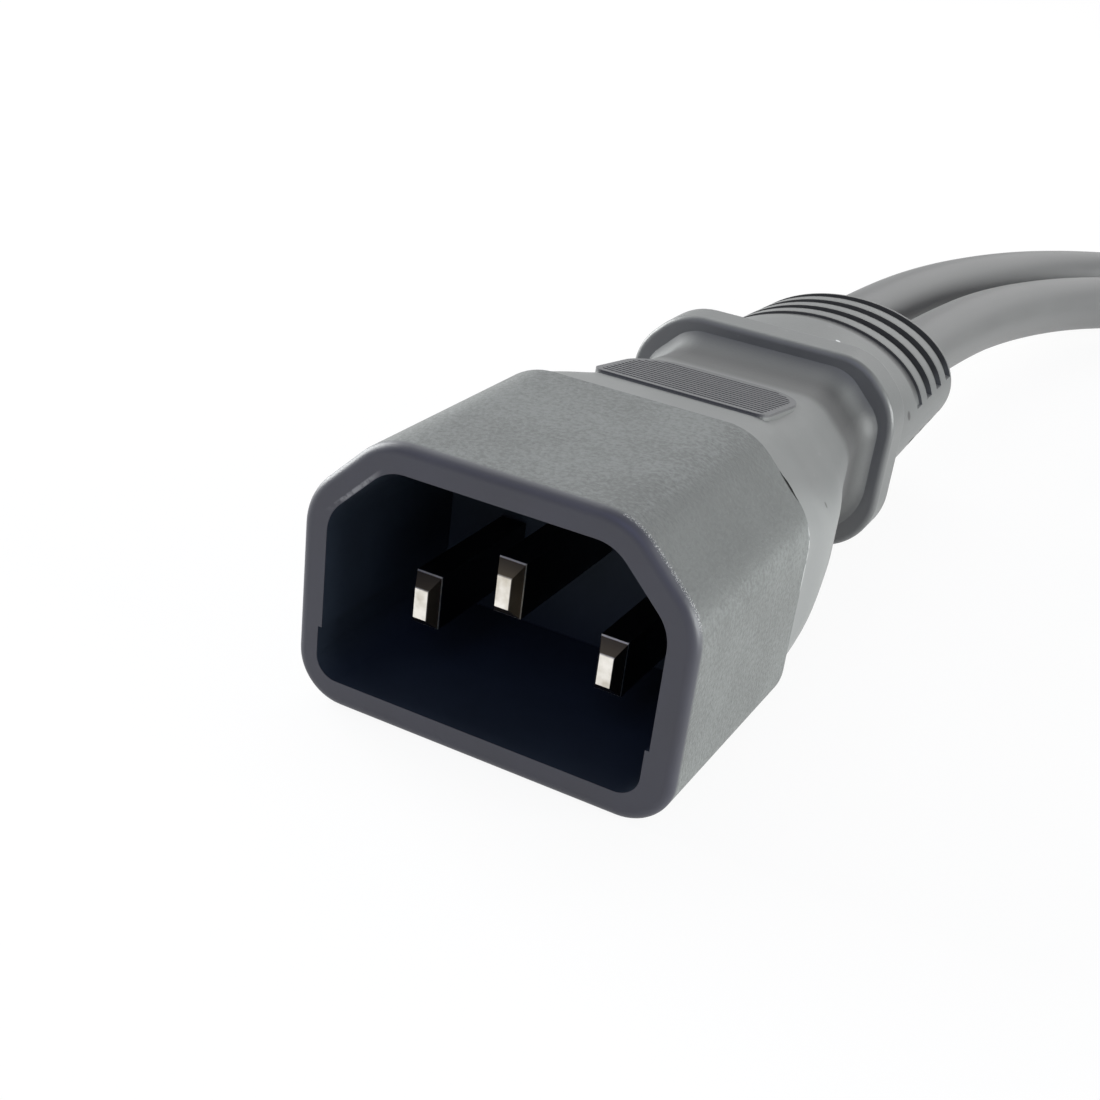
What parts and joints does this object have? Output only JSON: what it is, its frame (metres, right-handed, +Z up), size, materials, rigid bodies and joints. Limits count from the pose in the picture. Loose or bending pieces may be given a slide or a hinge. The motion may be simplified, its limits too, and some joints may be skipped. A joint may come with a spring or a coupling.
{
  "type": "power splitter cable",
  "caption": "Short mains splitter lead: a moulded three-pin plug with bevelled shroud, ribbed grip and slotted boot feeds twin round leads, each ending in a mating three-way socket.",
  "frame": {"origin": "centre of the plug's footprint on the surface it lies on", "axes": "+Z up, +Y from the plug's mouth towards its leads, +X to the right seen from the mouth"},
  "size_m": [0.152, 0.1791, 0.0204],
  "materials": {
    "hard_black": "fine spark-eroded texture",
    "soft_black": "smooth semi-matte",
    "cord_jacket": "satin",
    "nickel_plate": "bright nickel plate",
    "contact_brass": "bright",
    "core_brown": "smooth",
    "core_blue": "smooth",
    "core_green_yellow": "smooth"
  },
  "bodies": {
    "root": {"plug_shroud": "hard_black", "plug_moulding": "soft_black", "cord_left": "cord_jacket", "cord_right": "cord_jacket", "pin_line": "nickel_plate", "pin_earth": "nickel_plate", "pin_neutral": "nickel_plate", "plug_core_left_line": "core_brown", "plug_core_left_earth": "core_green_yellow", "plug_core_left_neutral": "core_blue", "socket_left_nose": "hard_black", "socket_left_moulding": "soft_black", "socket_left_contact_line": "contact_brass", "socket_left_contact_earth": "contact_brass", "socket_left_contact_neutral": "contact_brass", "socket_left_core_line": "core_brown", "socket_left_core_earth": "core_green_yellow", "socket_left_core_neutral": "core_blue", "plug_core_right_line": "core_brown", "plug_core_right_earth": "core_green_yellow", "plug_core_right_neutral": "core_blue", "socket_right_nose": "hard_black", "socket_right_moulding": "soft_black", "socket_right_contact_line": "contact_brass", "socket_right_contact_earth": "contact_brass", "socket_right_contact_neutral": "contact_brass", "socket_right_core_line": "core_brown", "socket_right_core_earth": "core_green_yellow", "socket_right_core_neutral": "core_blue"}
  },
  "joints": []
}
